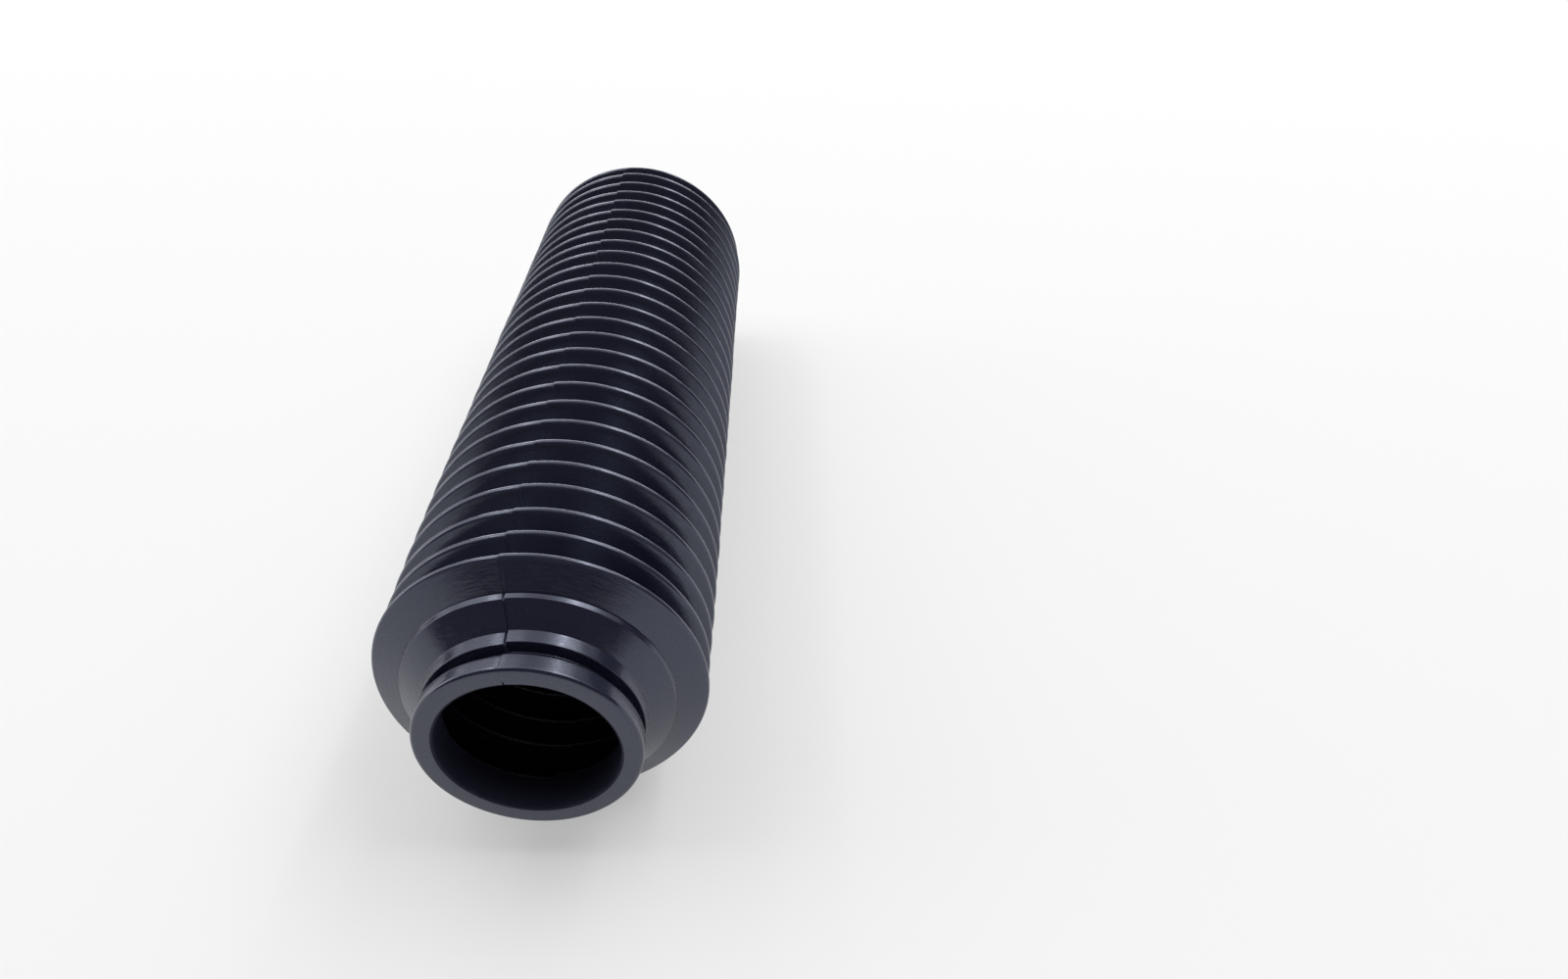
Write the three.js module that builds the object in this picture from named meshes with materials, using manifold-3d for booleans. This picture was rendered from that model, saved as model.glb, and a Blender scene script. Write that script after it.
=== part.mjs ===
// A fork gaiter: the folded rubber sleeve that keeps dirt off a motorbike's fork tube.
// It is moulded in one piece, open at both ends. The small cuff grips the fork tube and
// the large cuff grips the lower leg, each with a groove for a band or a wire clip.
// It lies on its side as it comes to rest on a table, each fold a little flattened there.
//
// Millimetres, +Z up. The sleeve's axis runs along Y, with the small cuff at -Y.
// The origin is on the table, under the middle of the sleeve.
import * as THREE from "three";
import { mergeVertices } from "three/addons/utils/BufferGeometryUtils.js";
import Module from "manifold-3d";

// Folds
const CREST_RADIUS = 32.5; // outside of a fold
const FOLD_COUNT = 27; // full folds, from the small end's cone to the large end's
const FOLD_DEPTH = 8.0; // from a crest down to the valley beside it
const FREE_PITCH = 7.5; // crest to crest, where the sleeve lies relaxed
const FRONT_PITCH = 6.6; // crest to crest, where it is bunched behind the small end
const FRONT_BUNCHED = 2; // gaps between folds at that pitch
const BACK_PITCH = 7.0; // crest to crest, where it is bunched towards the large end
const BACK_BUNCHED = 9; // gaps between folds at that pitch
const CREST_LAND = 0.9; // width of a crest's blunt top
const RIDGE_LAND = 1.9; // width of the blunt ridge inside a valley
const CREST_WALL = 2.9; // rubber under a crest, measured towards the axis
const VALLEY_WALL = 1.9; // rubber under a valley, measured towards the axis
const LAST_FOLD_DROP = 1.0; // how much smaller the fold at the large end is

// Small end, which the fork tube passes through
const SMALL_BORE_RADIUS = 17.0;
const SMALL_CUFF_WALL = 4.2; // from the bore to the lip's outside
const SMALL_LIP_LENGTH = 3.65;
const SMALL_SHOULDER_RISE = 0.1; // how far the shoulder's middle stands above the lip
const SMALL_SHOULDER_LENGTH = 2.55;
const SMALL_CONE_LENGTH = 7.95; // from the shoulder to the first crest

// The cone behind the small shoulder has one step in it
const STEP_DROP = 6.1; // from the first crest down to the step, measured towards the axis
const STEP_SETBACK = 3.95; // from the step's middle to the first crest, along the axis
const STEP_LAND = 1.2; // length of the step
const STEP_TAPER = 0.2; // how much the step rises along its length

// Large end, which sits on the fork's lower leg
const LARGE_BORE_RADIUS = 22.5;
const LARGE_CUFF_WALL = 4.2;
const LARGE_LIP_LENGTH = 3.65;
const LARGE_SHOULDER_RISE = 0.1;
const LARGE_SHOULDER_LENGTH = 2.1;
const LARGE_CONE_LENGTH = 3.0; // from the last crest to the shoulder

// Both ends
const GROOVE_WIDTH = 2.8; // for a band or a wire clip
const GROOVE_DEPTH = 2.6;
const SHOULDER_TAPER = 0.4; // how much a shoulder rises towards its cone
const CONE_WALL = 1.8; // rubber in the cones, measured square to their faces
const OUTER_BEVEL = 0.7; // on the outer edge of each end face
const BORE_BEVEL = 0.5; // on the inner edge of each end face

// How it rests
const REST_WIDTH = 9.0; // width of the flat that the table presses into each crest

const FACETS = 32; // sides of the round, an even number so that one side faces down

// Axial positions count from the small end's face and grow towards the large end.
const smallShoulderEnd = SMALL_LIP_LENGTH + GROOVE_WIDTH + SMALL_SHOULDER_LENGTH;
const firstCrest = smallShoulderEnd + SMALL_CONE_LENGTH;

// Distance from one crest to the next, counting gaps from the small end.
function pitchAfter(fold) {
  const gaps = FOLD_COUNT - 1;
  if (fold < FRONT_BUNCHED) return FRONT_PITCH;
  if (fold >= gaps - BACK_BUNCHED) return BACK_PITCH;
  return FREE_PITCH;
}

const crests = [firstCrest];
for (let fold = 0; fold < FOLD_COUNT - 1; fold++) crests.push(crests[fold] + pitchAfter(fold));
const largeShoulderEnd = crests[FOLD_COUNT - 1] + LARGE_CONE_LENGTH;
const sleeveLength =
  largeShoulderEnd + LARGE_SHOULDER_LENGTH + GROOVE_WIDTH + LARGE_LIP_LENGTH;

const crestRadius = (fold) => CREST_RADIUS - (fold === FOLD_COUNT - 1 ? LAST_FOLD_DROP : 0);
const valleyRadius = CREST_RADIUS - FOLD_DEPTH;
const valleyAfter = (fold) => (crests[fold] + crests[fold + 1]) / 2;
const point = (along, radius) => new THREE.Vector2(radius, along);

// The outside of a cuff, from its end face to the top of its shoulder. inward is 1 at the
// small end and -1 at the large end, where the cuff faces the other way.
function cuffOutside(face, inward, lipRadius, lipLength, rise, shoulderLength) {
  const at = (depth, radius) => point(face + inward * depth, radius);
  const grooveEnd = lipLength + GROOVE_WIDTH;
  const shoulderLow = lipRadius + rise - SHOULDER_TAPER / 2;
  return [
    at(0, lipRadius - OUTER_BEVEL),
    at(OUTER_BEVEL, lipRadius),
    at(lipLength, lipRadius),
    at(lipLength, lipRadius - GROOVE_DEPTH),
    at(grooveEnd, lipRadius - GROOVE_DEPTH),
    at(grooveEnd, shoulderLow),
    at(grooveEnd + shoulderLength, shoulderLow + SHOULDER_TAPER),
  ];
}

// The step in the small end's cone.
function coneStep() {
  const middle = firstCrest - STEP_SETBACK;
  const radius = CREST_RADIUS - STEP_DROP;
  return [
    point(middle - STEP_LAND / 2, radius - STEP_TAPER / 2),
    point(middle + STEP_LAND / 2, radius + STEP_TAPER / 2),
  ];
}

// The outside of the folds: a blunt crest each, with a sharp valley between two.
function foldsOutside() {
  const line = [];
  crests.forEach((crest, fold) => {
    line.push(point(crest - CREST_LAND / 2, crestRadius(fold)));
    line.push(point(crest + CREST_LAND / 2, crestRadius(fold)));
    if (fold < FOLD_COUNT - 1) line.push(point(valleyAfter(fold), valleyRadius));
  });
  return line;
}

// The inside of the folds: a hollow under each crest, with a blunt ridge under each valley.
function foldsInside() {
  const line = [];
  crests.forEach((crest, fold) => {
    line.push(point(crest, crestRadius(fold) - CREST_WALL));
    if (fold === FOLD_COUNT - 1) return;
    const ridge = valleyAfter(fold);
    line.push(point(ridge - RIDGE_LAND / 2, valleyRadius - VALLEY_WALL));
    line.push(point(ridge + RIDGE_LAND / 2, valleyRadius - VALLEY_WALL));
  });
  return line;
}

// Where the inside of a cone is at a radius. The cone's face runs from its low edge to its
// high edge, and its inside is parallel to that, one CONE_WALL under it.
function insideCone(low, high, radius) {
  const slope = (high.y - low.y) / (high.x - low.x);
  const under = Math.sign(slope) * CONE_WALL * Math.hypot(1, slope);
  return point(low.y + under + slope * (radius - low.x), radius);
}

// The closed section of the rubber on one side of the axis.
function section() {
  const smallCuff = cuffOutside(
    0, 1, SMALL_BORE_RADIUS + SMALL_CUFF_WALL,
    SMALL_LIP_LENGTH, SMALL_SHOULDER_RISE, SMALL_SHOULDER_LENGTH,
  );
  const largeCuff = cuffOutside(
    sleeveLength, -1, LARGE_BORE_RADIUS + LARGE_CUFF_WALL,
    LARGE_LIP_LENGTH, LARGE_SHOULDER_RISE, LARGE_SHOULDER_LENGTH,
  );
  const step = coneStep();
  const folds = foldsOutside();
  const smallShoulder = smallCuff[smallCuff.length - 1];
  const largeShoulder = largeCuff[largeCuff.length - 1];
  const outside = [...smallCuff, ...step, ...folds, ...largeCuff.reverse()];
  const inside = [
    point(0, SMALL_BORE_RADIUS + BORE_BEVEL),
    point(BORE_BEVEL, SMALL_BORE_RADIUS),
    insideCone(smallShoulder, step[0], SMALL_BORE_RADIUS),
    insideCone(smallShoulder, step[0], step[0].x - CONE_WALL),
    ...foldsInside(),
    insideCone(largeShoulder, folds[folds.length - 1], LARGE_BORE_RADIUS),
    point(sleeveLength - BORE_BEVEL, LARGE_BORE_RADIUS),
    point(sleeveLength, LARGE_BORE_RADIUS + BORE_BEVEL),
  ];
  return [...outside, ...inside.reverse(), outside[0]];
}

const wasm = await Module();
wasm.setup();

// A closed geometry as a solid that can be cut.
function solidOf(geometry) {
  geometry.deleteAttribute("normal");
  geometry.deleteAttribute("uv");
  const merged = mergeVertices(geometry);
  return new wasm.Manifold(new wasm.Mesh({
    numProp: 3,
    vertProperties: new Float32Array(merged.getAttribute("position").array),
    triVerts: new Uint32Array(merged.getIndex().array),
  }));
}

// A solid as a geometry that can be shown.
function geometryOf(solid) {
  const mesh = solid.getMesh();
  const geometry = new THREE.BufferGeometry();
  geometry.setAttribute("position", new THREE.BufferAttribute(mesh.vertProperties, 3));
  geometry.setIndex(new THREE.BufferAttribute(mesh.triVerts, 1));
  geometry.computeVertexNormals();
  return geometry;
}

// The sleeve, turned about its axis and lowered until the table flattens each crest over
// REST_WIDTH. What would reach below the table is taken off.
function sleeve() {
  const axisHeight = Math.sqrt(CREST_RADIUS ** 2 - (REST_WIDTH / 2) ** 2);
  const round = new THREE.LatheGeometry(section(), FACETS, Math.PI / FACETS);
  round.translate(0, -sleeveLength / 2, axisHeight);
  const below = new THREE.BoxGeometry(2 * CREST_RADIUS, 2 * sleeveLength, CREST_RADIUS);
  below.translate(0, 0, -CREST_RADIUS / 2);
  return geometryOf(solidOf(round).subtract(solidOf(below)));
}

const rubber = new THREE.MeshStandardMaterial({
  color: 0x1b1c22,
  roughness: 0.5,
  metalness: 0,
});

const gaiter = new THREE.Group();
const body = new THREE.Mesh(sleeve(), rubber);
body.name = "gaiter";
gaiter.add(body);

export default gaiter;
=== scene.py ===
"""A black rubber fork gaiter lying on a white table, seen from in front and above."""
import math
from typing import NamedTuple

import bpy
import numpy as np
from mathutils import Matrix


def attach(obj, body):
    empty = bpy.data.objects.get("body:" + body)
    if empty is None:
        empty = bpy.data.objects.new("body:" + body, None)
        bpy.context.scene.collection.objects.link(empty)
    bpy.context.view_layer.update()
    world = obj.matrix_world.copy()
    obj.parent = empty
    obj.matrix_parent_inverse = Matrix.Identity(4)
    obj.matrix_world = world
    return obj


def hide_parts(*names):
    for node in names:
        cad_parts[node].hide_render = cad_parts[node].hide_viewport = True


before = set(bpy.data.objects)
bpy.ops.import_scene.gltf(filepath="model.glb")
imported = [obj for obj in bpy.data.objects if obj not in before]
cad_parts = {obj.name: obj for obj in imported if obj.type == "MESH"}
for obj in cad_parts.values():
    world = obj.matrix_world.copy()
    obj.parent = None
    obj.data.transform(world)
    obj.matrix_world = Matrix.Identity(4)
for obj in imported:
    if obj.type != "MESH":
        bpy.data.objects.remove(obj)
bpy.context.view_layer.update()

MM = 0.001  # metres

# The folds, in millimetres. Places along the sleeve count from the small end's face.
# Valleys and hollows are measured to their sharp corners, before those are rounded.
CREST_RADIUS = 32.5  # outside of a fold
FOLD_COUNT = 27  # full folds, from the small end's cone to the large end's
FOLD_DEPTH = 8.0  # from a crest down to the valley beside it
FREE_PITCH = 7.5  # crest to crest, where the sleeve lies relaxed
FRONT_PITCH = 6.6  # crest to crest, where it is bunched behind the small end
FRONT_BUNCHED = 2  # gaps between folds at that pitch
BACK_PITCH = 7.0  # crest to crest, where it is bunched towards the large end
BACK_BUNCHED = 9  # gaps between folds at that pitch
LAST_FOLD_DROP = 1.0  # how much smaller the fold at the large end is
CREST_WALL = 2.9  # rubber under a crest, measured towards the axis
VALLEY_WALL = 1.9  # rubber under a valley, measured towards the axis
FLANK_DEPTH = FOLD_DEPTH + 1.0  # of a flank between its sharp corners, about
REST_WIDTH = 9.0  # width of the flat that the table presses into each crest
REST_SOFTNESS = 0.04  # height over which a fold rounds into that flat

# The cuffs
SMALL_BORE_RADIUS = 17.0
SMALL_LIP_RADIUS = 21.2
SMALL_SHOULDER_LENGTH = 2.55
SMALL_CONE_LENGTH = 7.95  # from the shoulder to the first crest
LARGE_BORE_RADIUS = 22.5
LARGE_LIP_RADIUS = 26.7
LARGE_SHOULDER_LENGTH = 2.1
LARGE_CONE_LENGTH = 3.0  # from the last crest to the shoulder
LIP_LENGTH = 3.65
GROOVE_WIDTH = 2.8  # for a band or a wire clip
GROOVE_DEPTH = 2.6
SHOULDER_RISE = 0.1  # how far the shoulder's middle stands above the lip
SHOULDER_TAPER = 0.4  # how much a shoulder rises towards its cone
CONE_WALL = 1.8  # rubber in the cones, measured square to their faces

# The bead that forms the step in the small end's cone
STEP_DROP = 6.05  # from the first crest down to the bead's top
STEP_BACK = 3.35  # from the bead's back edge to the first crest
BEAD_RISE = 0.3  # from the bead's front edge up to its top, which is at its back edge
BEAD_LIFT = 0.1  # from its top up to the back edge's sharp corner, before its rounding
CREASE_DEPTH = 0.42  # from the bead's top down to the bottom of the crease behind it
CREASE_WIDTH = 0.12  # from the bead's back edge to the bottom of the crease

# Roundings
VALLEY_FILLET = 0.5
HOLLOW_FILLET = 0.4  # of the hollow under a crest
RIDGE_FILLET = 1.4  # of the ridge under a valley
BORE_EDGE_FILLET = 0.6
LIP_EDGE_FILLET = 0.85
LIP_BACK_FILLET = 0.3
GROOVE_FILLET = 0.25
SHOULDER_FILLET = 0.2
BEAD_FRONT_FILLET = 0.25
BEAD_BACK_FILLET = 0.22
CREASE_FILLET = 0.05
CONE_FILLET = 0.8  # on the inside, at both ends of a cone

# Steps in the arc of a rounding
FINE = 5
MEDIUM = 3
COARSE = 2
SINGLE = 1

# The two mould halves differ
BEAD_LENGTH = {"left": 1.3, "right": 1.05}
CUFF_SHIFT = {"left": -0.3, "right": 0.25}  # of groove and shoulder, away from the face
CREST_FILLET = {"left": 0.86, "right": 0.74}  # at the small end
CREST_SPREAD = {"left": 0.25, "right": -0.2}  # share by which it changes to the large end
HALF_SHIFT = 0.22  # how far the left half's folds sit nearer the small end, on average
HALF_SHIFT_SPREAD = HALF_SHIFT / 3

# The first fold
FIRST_CREST_BACK = 0.12  # how far its tip lies behind its place
FIRST_CREST_SHARE = 0.85  # its rounding, as a share of the other folds'

# How far the small cuff leans off the sleeve's axis at its face
LEAN_RIGHT = 0.2
LEAN_DOWN = 0.1

# How the folds wander off their true form: waves round the sleeve, and the spread of
# their heights
ALONG_WAVES = (1, 2, 3)
ALONG_WANDER = 0.05
RADIUS_WAVES = (2, 3, 5)
RADIUS_WANDER = 0.03
SEED = 7

# The mould's parting line. It runs along the top, at these angles from the top towards +X
# for places along the sleeve, and along the bottom opposite.
SEAM_PLACES = [0, 20, 90, 217]  # mm
SEAM_ANGLES = [-5.6, -6.5, -6.3, -4.9]  # degrees
SEAM_BLEND = 0.24  # degrees from the line, over which one mould half gives way to the other
SEAM_WIDTH = 0.6  # degrees, of its thin groove
SEAM_DEPTH = 0.04  # mm
SEAM_INNERMOST = SMALL_LIP_RADIUS - 1  # mm, the smallest radius that it marks

# Gaps on the small end, where the mould halves don't quite meet
GAP_PLACES = [6.3, 6.6, 9.2, 9.6, 12.0, 12.3, 13.7, 14.1]  # mm along the sleeve
GAP_SHARES = [0, 1, 1, 0, 0, 1, 1, 0]  # of their depth, at these places
GAP_DEPTH = 0.4  # mm
GAP_WIDTH = 0.8  # degrees, of the nick too

# The nick that the parting line leaves in the small end's face, above the bore
NICK_DEPTH = 0.4  # mm
NICK_REACH = 0.65  # mm from the bore's edge, within which it is this deep
NICK_END = 1.6  # mm from the bore's edge, to where it runs out on the face

# How squarely a mark on the parting line is cut, as a power
SOFT_SIDED = 2
SQUARE_SIDED = 4

# Columns of the mesh, closer together at the parting line
COLUMNS = 168
TOP_SEAM_COLUMNS = 25
TOP_SEAM_REACH = 3.0  # degrees to either side
LOW_SEAM_COLUMNS = 9
LOW_SEAM_REACH = 1.2  # degrees to either side


def pitch_after(fold):
    """Distance from one crest to the next, counting gaps from the small end."""
    if fold < FRONT_BUNCHED:
        return FRONT_PITCH
    if fold >= FOLD_COUNT - 1 - BACK_BUNCHED:
        return BACK_PITCH
    return FREE_PITCH


FIRST_CREST = LIP_LENGTH + GROOVE_WIDTH + SMALL_SHOULDER_LENGTH + SMALL_CONE_LENGTH
PITCHES = [pitch_after(fold) for fold in range(FOLD_COUNT - 1)]
CRESTS = FIRST_CREST + np.concatenate([[0.0], np.cumsum(PITCHES)])
LENGTH = CRESTS[-1] + LARGE_CONE_LENGTH + LARGE_SHOULDER_LENGTH + GROOVE_WIDTH + LIP_LENGTH
VALLEY_RADIUS = CREST_RADIUS - FOLD_DEPTH
AXIS_HEIGHT = math.sqrt(CREST_RADIUS**2 - (REST_WIDTH / 2) ** 2)
BEAD_END = FIRST_CREST - STEP_BACK
BEAD_RADIUS = CREST_RADIUS - STEP_DROP


class Corner(NamedTuple):
    """A corner of the section, with the arc that rounds it. With no steps it stays sharp."""

    along: float
    radius: float
    fillet: float = 0.0
    steps: int = 0


def cuff(face, inward, bore, lip, shoulder_length, shift):
    """A cuff's corners from the bore's edge to the shoulder's top. inward is 1 at the small
    end and -1 at the large end, where the cuff faces the other way."""
    lip_end = LIP_LENGTH + shift
    groove_end = LIP_LENGTH + GROOVE_WIDTH + shift
    shoulder_end = groove_end + shoulder_length
    shoulder = lip + SHOULDER_RISE - SHOULDER_TAPER / 2
    floor = lip - GROOVE_DEPTH
    corners = [
        Corner(0, bore, BORE_EDGE_FILLET, MEDIUM),
        Corner(0, bore + NICK_END),  # the nick runs out here
        Corner(0, lip, LIP_EDGE_FILLET, FINE),
        Corner(lip_end, lip, LIP_BACK_FILLET, COARSE),
        Corner(lip_end, floor, GROOVE_FILLET, COARSE),
        Corner(groove_end, floor, GROOVE_FILLET, COARSE),
        Corner(groove_end, shoulder, GROOVE_FILLET, COARSE),
        Corner(shoulder_end, shoulder + SHOULDER_TAPER, SHOULDER_FILLET, COARSE),
    ]
    return [corner._replace(along=face + inward * corner.along) for corner in corners]


def bead(half):
    """The bead on the small end's cone, with the crease behind it."""
    front = BEAD_END - BEAD_LENGTH[half]
    crease = BEAD_END + CREASE_WIDTH
    return [
        Corner(front, BEAD_RADIUS - BEAD_RISE, BEAD_FRONT_FILLET, MEDIUM),
        Corner(BEAD_END, BEAD_RADIUS + BEAD_LIFT, BEAD_BACK_FILLET, FINE),
        Corner(crease, BEAD_RADIUS - CREASE_DEPTH, CREASE_FILLET, SINGLE),
    ]


def apex_beyond(fillet):
    """How far the sharp corner between two flanks stands beyond the arc that rounds it."""
    lean = math.atan2(FREE_PITCH / 2, FLANK_DEPTH)
    return fillet * (1 / math.sin(lean) - 1)


def crest_radius(fold):
    return CREST_RADIUS - (LAST_FOLD_DROP if fold == FOLD_COUNT - 1 else 0)


def folds_outside(half):
    """The crests in one mould half, with a valley between two."""
    corners = []
    for fold, crest in enumerate(CRESTS):
        fillet = CREST_FILLET[half] * (1 + CREST_SPREAD[half] * (fold / FOLD_COUNT) ** 2)
        if fold == 0:
            crest = crest + FIRST_CREST_BACK
            fillet = fillet * FIRST_CREST_SHARE
        corners.append(Corner(crest, crest_radius(fold) + apex_beyond(fillet), fillet, FINE))
        if fold < FOLD_COUNT - 1:
            valley = (crest + CRESTS[fold + 1]) / 2
            corners.append(Corner(valley, VALLEY_RADIUS, VALLEY_FILLET, COARSE))
    return corners


def folds_inside():
    """A hollow under each crest, with a blunt ridge under each valley."""
    corners = []
    ridge_radius = VALLEY_RADIUS - VALLEY_WALL - apex_beyond(RIDGE_FILLET)
    for fold, crest in enumerate(CRESTS):
        corners.append(Corner(crest, crest_radius(fold) - CREST_WALL, HOLLOW_FILLET, COARSE))
        if fold < FOLD_COUNT - 1:
            ridge = (crest + CRESTS[fold + 1]) / 2
            corners.append(Corner(ridge, ridge_radius, RIDGE_FILLET, MEDIUM))
    return corners


def inside_cone(low, high, radius):
    """The corner at a radius on the inside of a cone, which is parallel to the cone's face
    from its low to its high corner, one CONE_WALL under it."""
    slope = (high.along - low.along) / (high.radius - low.radius)
    under = math.copysign(CONE_WALL * math.hypot(1, slope), slope)
    along = low.along + under + slope * (radius - low.radius)
    return Corner(along, radius, CONE_FILLET, COARSE)


def section(half):
    """The closed section's corners in one mould half, along the outside and back inside."""
    shift = CUFF_SHIFT[half]
    small = cuff(0, 1, SMALL_BORE_RADIUS, SMALL_LIP_RADIUS, SMALL_SHOULDER_LENGTH, shift)
    large = cuff(LENGTH, -1, LARGE_BORE_RADIUS, LARGE_LIP_RADIUS, LARGE_SHOULDER_LENGTH, shift)
    step = bead(half)
    folds = folds_outside(half)
    inside = [
        inside_cone(small[-1], step[0], SMALL_BORE_RADIUS),
        inside_cone(small[-1], step[0], BEAD_RADIUS - CONE_WALL),
        *folds_inside(),
        inside_cone(large[-1], folds[-1], LARGE_BORE_RADIUS),
    ]
    return [*small, *step, *folds, *large[::-1], *inside[::-1]]


def unit(vector):
    return vector / np.linalg.norm(vector)


def arc(before, here, after, fillet, steps):
    """The arc that rounds the corner here, between the corners before and after it."""
    to_before = unit(before - here)
    to_after = unit(after - here)
    half = math.acos(np.clip(to_before @ to_after, -1, 1)) / 2
    centre = here + unit(to_before + to_after) * fillet / math.sin(half)
    first = here + to_before * fillet / math.tan(half) - centre
    last = here + to_after * fillet / math.tan(half) - centre
    sweep = math.pi - 2 * half
    points = []
    for step in range(steps + 1):
        t = step / steps
        arm = (math.sin((1 - t) * sweep) * first + math.sin(t * sweep) * last) / math.sin(sweep)
        points.append(centre + arm)
    return points


def rounded(corners):
    """The closed outline through the corners, as rows of (along, radius), each corner with
    its own rounding."""
    line = []
    places = [np.array([corner.along, corner.radius]) for corner in corners]
    for k, corner in enumerate(corners):
        if corner.steps == 0:
            line.append(places[k])
            continue
        after = places[(k + 1) % len(places)]
        line.extend(arc(places[k - 1], places[k], after, corner.fillet, corner.steps))
    return np.array(line)


def columns():
    """The angles of the mesh's columns, in degrees from the parting line at the top."""
    top = np.linspace(-TOP_SEAM_REACH, TOP_SEAM_REACH, TOP_SEAM_COLUMNS)
    low = 180 + np.linspace(-LOW_SEAM_REACH, LOW_SEAM_REACH, LOW_SEAM_COLUMNS)
    coarse = (COLUMNS - TOP_SEAM_COLUMNS - LOW_SEAM_COLUMNS) // 2
    right = np.linspace(top[-1], low[0], coarse + 2)[1:-1]
    return np.concatenate([top, right, low, 360 - right[::-1]])


def left_share(angle):
    """1 in the left mould half and 0 in the right one, with a short blend at each seam."""
    from_top = (angle + 180) % 360 - 180
    from_low = angle % 360 - 180
    past_top = np.tanh(from_top / SEAM_BLEND)
    past_low = np.tanh(from_low / SEAM_BLEND)
    return np.where(np.abs(from_top) < 90, 1 - past_top, 1 + past_low) / 2


def on_seam(angle, width, power):
    """1 on the parting line, at the top and the bottom, falling to 0 outside a band round
    it. A higher power makes the band's sides steeper."""
    off_seam = np.abs((angle + 90) % 180 - 90)[:, None]
    return np.exp(-((off_seam / (width / 2)) ** power))


def wander(rng, middle, angle, waves, amount):
    """A small wandering that differs from fold to fold and changes gradually between."""
    total = np.zeros((len(angle), len(middle)))
    for n in waves:
        size = rng.normal(0, amount, FOLD_COUNT)
        phase = rng.uniform(0, 2 * math.pi, FOLD_COUNT)
        sines = np.interp(middle, CRESTS, size * np.sin(phase))
        cosines = np.interp(middle, CRESTS, size * np.cos(phase))
        turn = np.radians(angle)[:, None] * n
        total += np.sin(turn) * cosines + np.cos(turn) * sines
    return total


def half_shift(rng, middle):
    """How much nearer the small end the left mould half's folds sit, from the bead on."""
    shift = rng.normal(HALF_SHIFT, HALF_SHIFT_SPREAD, FOLD_COUNT)
    return np.interp(middle, [BEAD_END, *CRESTS], [0, *shift])


def seam_depth(middle, level, angle):
    """How deep the parting line's groove and gaps are."""
    marked = level > SEAM_INNERMOST
    gap = GAP_DEPTH * np.interp(middle, GAP_PLACES, GAP_SHARES) * marked
    groove = SEAM_DEPTH * marked * on_seam(angle, SEAM_WIDTH, SOFT_SIDED)
    return groove + gap * on_seam(angle, GAP_WIDTH, SQUARE_SIDED)


def nick_depth(middle, level, angle):
    """How deep the nick in the small end's face is. It is at the top seam alone."""
    near_bore = (middle < NICK_REACH) & (level < SMALL_BORE_RADIUS + NICK_REACH)
    at_top = (np.cos(np.radians(angle)) > 0)[:, None]
    return NICK_DEPTH * (near_bore & at_top) * on_seam(angle, GAP_WIDTH, SQUARE_SIDED)


def laid_down(along, radius, turn):
    """The sleeve's points in metres as it lies on the table, its small cuff leaning a
    little and its folds flattened where they rest."""
    lean = np.clip(1 - along / FIRST_CREST, 0, 1)
    x = radius * np.sin(turn) + LEAN_RIGHT * lean
    y = along - LENGTH / 2
    z = AXIS_HEIGHT + radius * np.cos(turn) - LEAN_DOWN * lean
    rested = (z + np.hypot(z, REST_SOFTNESS)) / 2
    return np.stack([x, y, rested], axis=-1) * MM


def sleeve_points():
    """The sleeve's surface as a grid of points, one row for each column of the mesh."""
    rng = np.random.default_rng(SEED)
    left = rounded(section("left"))
    right = rounded(section("right"))
    angle = columns()
    share = left_share(angle)[:, None]
    # Each point's place along the sleeve and its radius, before anything moves it
    middle, level = right.T
    along = middle + (left[:, 0] - middle) * share
    radius = level + (left[:, 1] - level) * share
    along = along + wander(rng, middle, angle, ALONG_WAVES, ALONG_WANDER)
    radius = radius + wander(rng, middle, angle, RADIUS_WAVES, RADIUS_WANDER)
    along = along + half_shift(rng, middle) * (0.5 - share)
    along = along + nick_depth(middle, level, angle)
    radius = radius - seam_depth(middle, level, angle)
    turn = np.radians(angle[:, None] + np.interp(middle, SEAM_PLACES, SEAM_ANGLES))
    return laid_down(along, radius, turn)


def neighbours(grid):
    """What lies one row on, one place on and both, in a grid that joins up both ways."""
    across = np.roll(grid, -1, axis=0)
    return across, np.roll(grid, -1, axis=1), np.roll(across, -1, axis=1)


def outward_normals(points):
    """Normals weighted by face area, which keeps the flanks flat up to their rounding."""
    across, up, diagonal = neighbours(points)
    face = np.cross(across - up, diagonal - points)
    total = face + np.roll(face, 1, axis=0)
    total = total + np.roll(total, 1, axis=1)
    return total / np.linalg.norm(total, axis=-1, keepdims=True)


def grid_mesh(name, points):
    """A closed mesh from a grid of points. Its faces point out of the rubber, because the
    columns run from the top towards +X and the outline runs the outside first."""
    number = np.arange(points[..., 0].size).reshape(points.shape[:2])
    across, up, diagonal = neighbours(number)
    faces = np.stack([number, across, diagonal, up], axis=-1).reshape(-1, 4)
    normals = outward_normals(points).reshape(-1, 3)
    mesh = bpy.data.meshes.new(name)
    mesh.from_pydata(points.reshape(-1, 3).tolist(), [], faces.tolist())
    mesh.shade_smooth()
    mesh.normals_split_custom_set_from_vertices(normals.tolist())
    mesh.update()
    return mesh


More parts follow.
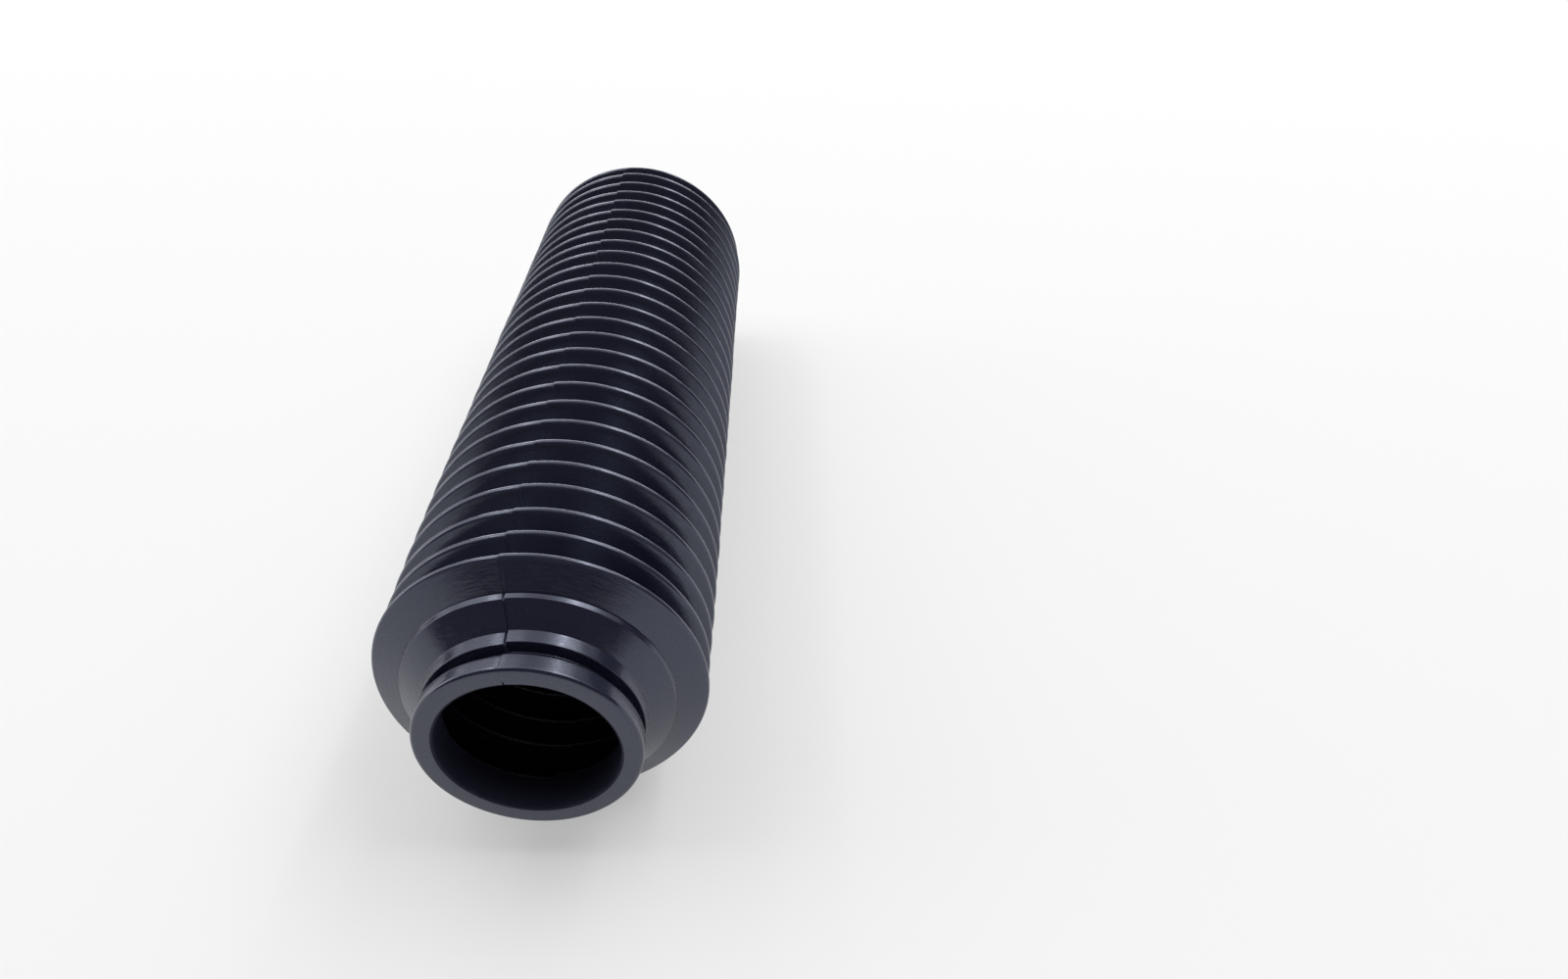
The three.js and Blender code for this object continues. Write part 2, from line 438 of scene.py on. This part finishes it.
class Shader:
    """Short forms for building a material's nodes."""

    def __init__(self, name):
        self.material = bpy.data.materials.new(name)
        self.material.use_nodes = True
        self.tree = self.material.node_tree
        self.surface = self.tree.nodes["Principled BSDF"]

    def node(self, kind, **settings):
        made = self.tree.nodes.new("ShaderNode" + kind)
        for key, value in settings.items():
            setattr(made, key, value)
        return made

    def feed(self, socket, value):
        if isinstance(value, bpy.types.NodeSocket):
            self.tree.links.new(value, socket)
        else:
            socket.default_value = value

    def math(self, operation, a, b=0.0, clamp=False):
        made = self.node("Math", operation=operation, use_clamp=clamp)
        self.feed(made.inputs[0], a)
        self.feed(made.inputs[1], b)
        return made.outputs[0]

    def vector(self, x=0.0, y=0.0, z=0.0):
        made = self.node("CombineXYZ")
        for socket, value in zip(made.inputs, (x, y, z)):
            self.feed(socket, value)
        return made.outputs[0]

    def ramp(self, value, low, high, to_low=0.0, to_high=1.0):
        made = self.node("MapRange", interpolation_type="SMOOTHSTEP")
        for name, given in (("Value", value), ("From Min", low), ("From Max", high),
                            ("To Min", to_low), ("To Max", to_high)):
            self.feed(made.inputs[name], given)
        return made.outputs[0]

    def noise(self, where, scale, detail, roughness):
        made = self.node("TexNoise")
        self.feed(made.inputs["Vector"], where)
        self.feed(made.inputs["Scale"], scale)
        self.feed(made.inputs["Detail"], detail)
        self.feed(made.inputs["Roughness"], roughness)
        return made.outputs["Fac"]

    def mix(self, share, a, b):
        made = self.node("Mix", data_type="RGBA")
        self.feed(made.inputs["Factor"], share)
        self.feed(made.inputs["A"], a)
        self.feed(made.inputs["B"], b)
        return made.outputs["Result"]


# The rubber's colours
RUBBER_DARK = (0.0135, 0.0142, 0.0310, 1)
RUBBER_DUSTY = (0.024, 0.025, 0.046, 1)
RUBBER_WORN = (0.042, 0.045, 0.070, 1)
SPECULAR_TINT = (0.76, 0.81, 1.0, 1)

# Its noises, as waves per metre, detail and roughness
PATCHES = (45, 4, 0.5)  # some parts are dustier and less shiny
CLOUDS = (160, 5, 0.6)  # of dust
SPECKS = (900, 2, 0.5)  # pale crumbs
GRAIN = (2600, 3, 0.6)
TOOL_MARKS = (1500, 2, 0.5)  # round the sleeve, left by the mould
STREAKS = (3200, 4, 0.65)  # round the sleeve, some shinier than others
ROUND_STRETCH = 0.004  # metres of noise for each radian round the sleeve

# Levels of a noise between which its effect sets in
DUSTY_PATCHES = (0.35, 0.7)
DUSTY_CLOUDS = (0.42, 0.75)
PALE_SPECKS = (0.70, 0.78)
DULL_PATCHES = (0.3, 0.7)
DULL_STREAKS = (0.35, 0.65)

# How much each effect does at its fullest
DUST_COLOUR = 0.5
WORN_COLOUR = 0.5  # on the crests
SPECK_COLOUR = 0.35
PATCH_ROUGHNESS = (0.17, 0.23)  # where it hasn't set in, and at its fullest
STREAK_ROUGHNESS = (-0.04, 0.08)  # added, likewise
DUST_ROUGHNESS = 0.08
INSIDE_ROUGHNESS = 0.5  # added inside the sleeve, which the mould left dull
OUTSIDE_SPECULAR = 0.95
INSIDE_SPECULAR_LOSS = 0.65
GRAIN_HEIGHT = 0.5
TOOL_MARK_HEIGHT = 0.9
BUMP_STRENGTH = 0.35
BUMP_DISTANCE = 0.06 * MM

WORN_DEPTH = 1.2  # mm from a crest's top, down to where its wear ends
INWARD_COSINES = (-0.05, -0.3)  # of a face to the outward direction, where the inside sets in


def rubber_colour(s, where, radius, dust):
    """Black, paler where dust lies, on worn crests and in specks."""
    crest = s.ramp(radius, (CREST_RADIUS - WORN_DEPTH) * MM, CREST_RADIUS * MM)
    specks = s.ramp(s.noise(where, *SPECKS), *PALE_SPECKS)
    colour = s.mix(s.math("MULTIPLY", dust, DUST_COLOUR), RUBBER_DARK, RUBBER_DUSTY)
    colour = s.mix(s.math("MULTIPLY", crest, WORN_COLOUR), colour, RUBBER_WORN)
    return s.mix(s.math("MULTIPLY", specks, SPECK_COLOUR), colour, RUBBER_WORN)


def rubber_roughness(s, turned, patches, dust, inside):
    """Shiny, duller in patches and streaks, under dust and inside the sleeve."""
    streaks = s.noise(turned, *STREAKS)
    rough = s.ramp(patches, *DULL_PATCHES, *PATCH_ROUGHNESS)
    rough = s.math("ADD", rough, s.math("MULTIPLY", dust, DUST_ROUGHNESS))
    rough = s.math("ADD", rough, s.ramp(streaks, *DULL_STREAKS, *STREAK_ROUGHNESS))
    return s.math("ADD", rough, s.math("MULTIPLY", inside, INSIDE_ROUGHNESS))


def rubber_bump(s, where, turned):
    """The grain of the mould's surface, with fine tool marks round the sleeve."""
    grain = s.math("MULTIPLY", s.noise(where, *GRAIN), GRAIN_HEIGHT)
    marks = s.math("MULTIPLY", s.noise(turned, *TOOL_MARKS), TOOL_MARK_HEIGHT)
    bump = s.node("Bump")
    s.feed(bump.inputs["Height"], s.math("ADD", grain, marks))
    bump.inputs["Strength"].default_value = BUMP_STRENGTH
    bump.inputs["Distance"].default_value = BUMP_DISTANCE
    return bump.outputs[0]


def rubber():
    """Moulded black rubber. Its tool marks run round the sleeve, and it is dull inside."""
    s = Shader("moulded_rubber")
    coords = s.node("TexCoord").outputs
    where = coords["Object"]
    parts = s.node("SeparateXYZ")
    s.feed(parts.inputs[0], where)
    x, y, z = parts.outputs
    over_axis = s.math("SUBTRACT", z, AXIS_HEIGHT * MM)
    squares = s.math("ADD", s.math("MULTIPLY", x, x), s.math("MULTIPLY", over_axis, over_axis))
    radius = s.math("SQRT", squares)
    angle = s.math("ARCTAN2", x, over_axis)
    turned = s.vector(s.math("MULTIPLY", angle, ROUND_STRETCH), y, radius)

    facing = s.node("VectorMath", operation="DOT_PRODUCT")
    s.feed(facing.inputs[0], coords["Normal"])
    s.feed(facing.inputs[1], s.vector(x=x, z=over_axis))
    cosine = s.math("DIVIDE", facing.outputs["Value"], radius)
    inside = s.ramp(cosine, *INWARD_COSINES)

    patches = s.noise(where, *PATCHES)
    clouds = s.noise(where, *CLOUDS)
    dust = s.math("MULTIPLY", s.ramp(clouds, *DUSTY_CLOUDS), s.ramp(patches, *DUSTY_PATCHES))
    specular_loss = s.math("MULTIPLY", inside, INSIDE_SPECULAR_LOSS)

    surface = s.surface.inputs
    s.feed(surface["Base Color"], rubber_colour(s, where, radius, dust))
    s.feed(surface["Roughness"], rubber_roughness(s, turned, patches, dust, inside))
    s.feed(surface["Specular IOR Level"], s.math("SUBTRACT", OUTSIDE_SPECULAR, specular_loss))
    surface["Specular Tint"].default_value = SPECULAR_TINT
    s.feed(surface["Normal"], rubber_bump(s, where, turned))
    return s.material


def gaiter():
    """The sleeve, which takes the place of the plain faceted one."""
    piece = bpy.data.objects.new("gaiter_rubber", grid_mesh("gaiter_rubber", sleeve_points()))
    bpy.context.scene.collection.objects.link(piece)
    piece.data.materials.append(rubber())
    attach(piece, "root")
    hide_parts("gaiter")


# The photograph's viewpoint, worked out from its folds, as shares of CREST_RADIUS from the
# centre of the first crest
CAMERA_PLACE = (1.4459, -4.5681, 4.8679)
CAMERA_PITCH = 36.905  # degrees below the horizon
CAMERA_LENS = 25.229
CAMERA_SENSOR = 36.0
CAMERA_NEAREST = 0.01  # metres
CAMERA_FURTHEST = 20  # metres


def camera():
    data = bpy.data.cameras.new("camera")
    data.sensor_width = CAMERA_SENSOR
    data.lens = CAMERA_LENS
    data.clip_start = CAMERA_NEAREST
    data.clip_end = CAMERA_FURTHEST
    place = bpy.data.objects.new("camera", data)
    bpy.context.scene.collection.objects.link(place)
    first_crest = np.array([0, FIRST_CREST - LENGTH / 2, AXIS_HEIGHT])
    place.location = (first_crest + np.array(CAMERA_PLACE) * CREST_RADIUS) * MM
    place.rotation_euler = (math.radians(90 - CAMERA_PITCH), 0, 0)
    bpy.context.scene.camera = place


# The table's material
TABLE_COLOUR = (0.78, 0.78, 0.78, 1)
TABLE_GLOW = 0.97
TABLE_GLOW_SHARE = 0.4  # of that glow in what the camera and reflections see

TABLE_SIZE = 60  # metres
TABLE_CLEARANCE = 0.2 * MM  # from the table to the underside of the sleeve


def table_white():
    """White, and to the camera and in reflections a little whiter than its light makes it."""
    s = Shader("table_white")
    s.surface.inputs["Base Color"].default_value = TABLE_COLOUR
    s.surface.inputs["Roughness"].default_value = 1.0
    s.surface.inputs["Specular IOR Level"].default_value = 0.0
    path = s.node("LightPath").outputs
    seen = s.math("ADD", path["Is Camera Ray"], path["Is Glossy Ray"])
    seen = s.math("ADD", seen, path["Is Transmission Ray"], clamp=True)
    glow = s.node("Emission")
    glow.inputs["Strength"].default_value = TABLE_GLOW
    both = s.node("MixShader")
    s.feed(both.inputs[0], s.math("MULTIPLY", seen, TABLE_GLOW_SHARE))
    s.feed(both.inputs[1], s.surface.outputs[0])
    s.feed(both.inputs[2], glow.outputs[0])
    s.feed(s.tree.nodes["Material Output"].inputs["Surface"], both.outputs[0])
    return s.material


def table():
    bpy.ops.mesh.primitive_plane_add(size=TABLE_SIZE, location=(0, 0, -TABLE_CLEARANCE))
    floor = bpy.context.active_object
    floor.name = "table"
    floor.data.materials.append(table_white())


# The ceiling, in metres: strips that run away from the camera, each in a part over the
# sleeve and a part beyond it
CEILING_HEIGHT = 2.4
OVER_MIDDLE = 0.3
OVER_DEPTH = 1.8
BEYOND_MIDDLE = 3.0
BEYOND_DEPTH = 3.6
ROW_DROP = 0.03  # how far the bright rows of lamps hang under the ceiling

# Name, left edge, right edge, radiance over the sleeve, radiance beyond it, drop
CEILING_STRIPS = [
    ("ceiling_left", -4.3, -0.45, 1.75, 1.1, 0),
    ("row_left", -1.60, -1.35, 5.0, 2.8, ROW_DROP),
    ("ceiling", -0.45, 0.5, 0.85, 0.55, 0),
    ("ceiling_right", 0.5, 0.95, 1.8, 1.15, 0),
    ("ceiling_far_right", 0.95, 2.1, 4.0, 1.75, 0),
    ("row_right", 1.00, 1.18, 8.0, 4.8, ROW_DROP),
    ("ceiling_edge", 2.1, 4.3, 0.6, 0.4, 0),
]

# Name, width, depth, radiance, place and tilt in degrees
WALL_PANELS = [
    ("back", 6.0, 1.5, 4.7, (0, 5.0, 1.05), (-90, 0, 0)),
    ("left_near", 1.8, 1.5, 2.6, (-3.4, 0.25, 0.9), (0, -90, 0)),
    ("left_far", 1.0, 3.0, 1.15, (-3.4, 2.5, 1.3), (0, -90, 0)),
]

ROOM_LIGHT = 0.08  # radiance from everywhere else


def lamp(name, width, depth, radiance, place, tilt=(0, 0, 0)):
    """A soft panel, as bright as its radiance, that faces straight down before its tilt."""
    data = bpy.data.lights.new(name, "AREA")
    data.shape = "RECTANGLE"
    data.size = width
    data.size_y = depth
    data.energy = radiance * math.pi * width * depth
    made = bpy.data.objects.new(name, data)
    bpy.context.scene.collection.objects.link(made)
    made.location = place
    made.rotation_euler = [math.radians(turn) for turn in tilt]
    made.visible_camera = False


def lights():
    world = bpy.data.worlds.new("studio")
    bpy.context.scene.world = world
    world.use_nodes = True
    background = world.node_tree.nodes["Background"]
    background.inputs["Color"].default_value = (1, 1, 1, 1)
    background.inputs["Strength"].default_value = ROOM_LIGHT
    for name, left, right, over, beyond, drop in CEILING_STRIPS:
        middle = (left + right) / 2
        height = CEILING_HEIGHT - drop
        lamp(name + "_over", right - left, OVER_DEPTH, over, (middle, OVER_MIDDLE, height))
        lamp(name + "_beyond", right - left, BEYOND_DEPTH, beyond, (middle, BEYOND_MIDDLE, height))
    for panel in WALL_PANELS:
        lamp(*panel)


gaiter()
camera()
lights()
table()
bpy.context.scene.view_settings.view_transform = "Standard"
